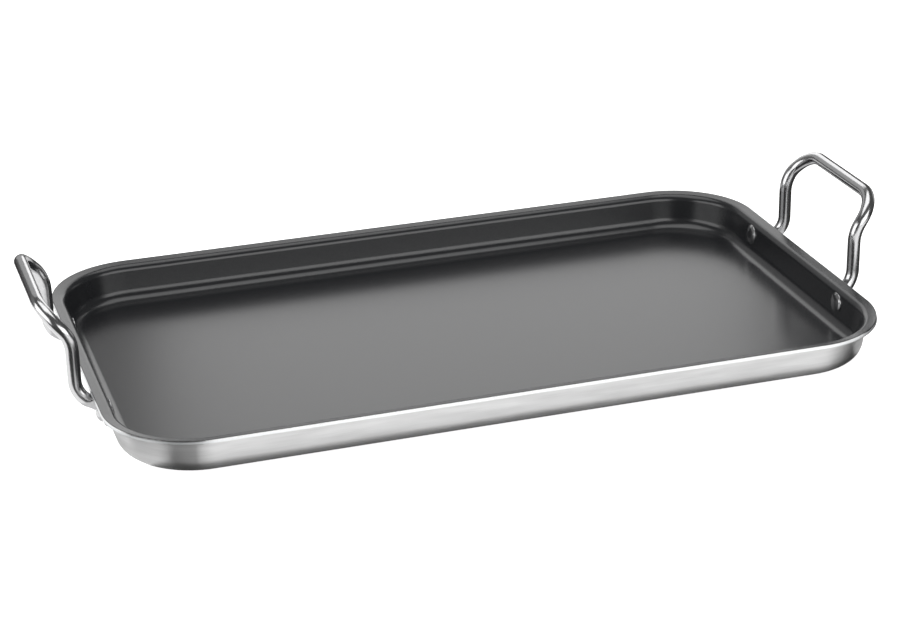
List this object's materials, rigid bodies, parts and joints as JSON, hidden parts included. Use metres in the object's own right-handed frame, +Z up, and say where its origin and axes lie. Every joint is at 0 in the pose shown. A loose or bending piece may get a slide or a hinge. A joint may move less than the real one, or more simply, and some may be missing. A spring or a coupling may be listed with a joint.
{
  "type": "griddle plate",
  "caption": "Rectangular shallow griddle plate of clad steel sheet with a flared lip, a non-stick cooking face and a riveted wire handle at each short end.",
  "frame": {"origin": "middle of the flat underside, on the surface that the plate stands on", "axes": "+X along the length towards the right handle, +Y to the rear long side, +Z up out of the cooking face"},
  "size_m": [0.4628, 0.246, 0.0693],
  "materials": {
    "satin_steel": "satin, brushed along the length",
    "aluminium": "bare, seen only at the cut edge",
    "nonstick": "semi-gloss charcoal fluoropolymer coating",
    "polished_steel": "polished stainless wire",
    "rivet_steel": "polished stainless rivet"
  },
  "bodies": {
    "root": {"outer_steel_shell": "satin_steel", "aluminium_core": "aluminium", "inner_steel_layer": "satin_steel", "nonstick_coating": "nonstick", "left_handle": "polished_steel", "right_handle": "polished_steel", "rivet_left_front": "rivet_steel", "rivet_left_rear": "rivet_steel", "rivet_right_front": "rivet_steel", "rivet_right_rear": "rivet_steel"}
  },
  "joints": []
}
